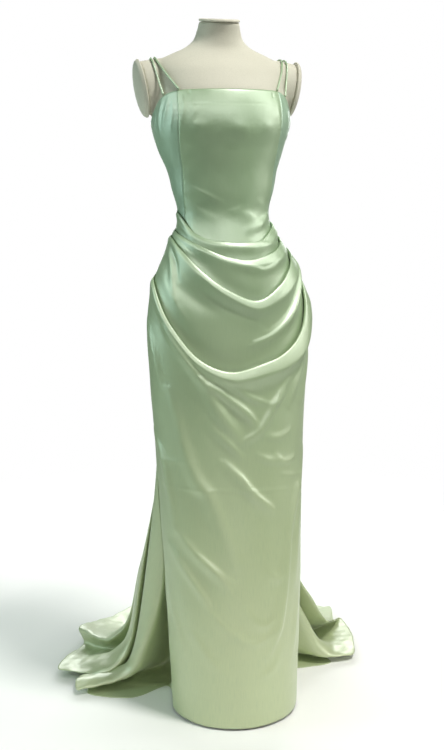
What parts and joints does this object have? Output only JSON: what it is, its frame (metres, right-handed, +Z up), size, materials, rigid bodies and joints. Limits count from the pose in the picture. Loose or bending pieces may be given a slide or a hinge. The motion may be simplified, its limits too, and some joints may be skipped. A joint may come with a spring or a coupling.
{
  "type": "evening gown on a dress form",
  "caption": "Full-length satin evening gown with thin straps, a draped hip and a short train, worn by a limbless dress form on its own stand.",
  "frame": {"origin": "centre of the underside of the stand's base, on the floor", "axes": "+Z up, the gown's front faces -Y, the wearer's left side is +X"},
  "size_m": [0.8413, 0.8277, 1.644],
  "materials": {
    "satin": "pale green duchess satin, soft gloss",
    "form_linen": "matt cream linen cover",
    "stand_steel": "satin grey paint"
  },
  "bodies": {
    "root": {"bodice_front": "satin", "bodice_side_front_right": "satin", "bodice_side_front_left": "satin", "bodice_back_right": "satin", "bodice_back_left": "satin", "back_placket": "satin", "strap_right_inner": "satin", "strap_right_outer": "satin", "strap_left_inner": "satin", "strap_left_outer": "satin", "drape_upper": "satin", "drape_middle": "satin", "drape_lower": "satin", "skirt_front": "satin", "skirt_back_right": "satin", "skirt_back_left": "satin", "form_torso": "form_linen", "form_neck_cap": "form_linen", "form_arm_plate_right": "form_linen", "form_arm_plate_left": "form_linen", "stand_pole": "stand_steel", "stand_base": "stand_steel"}
  },
  "joints": []
}
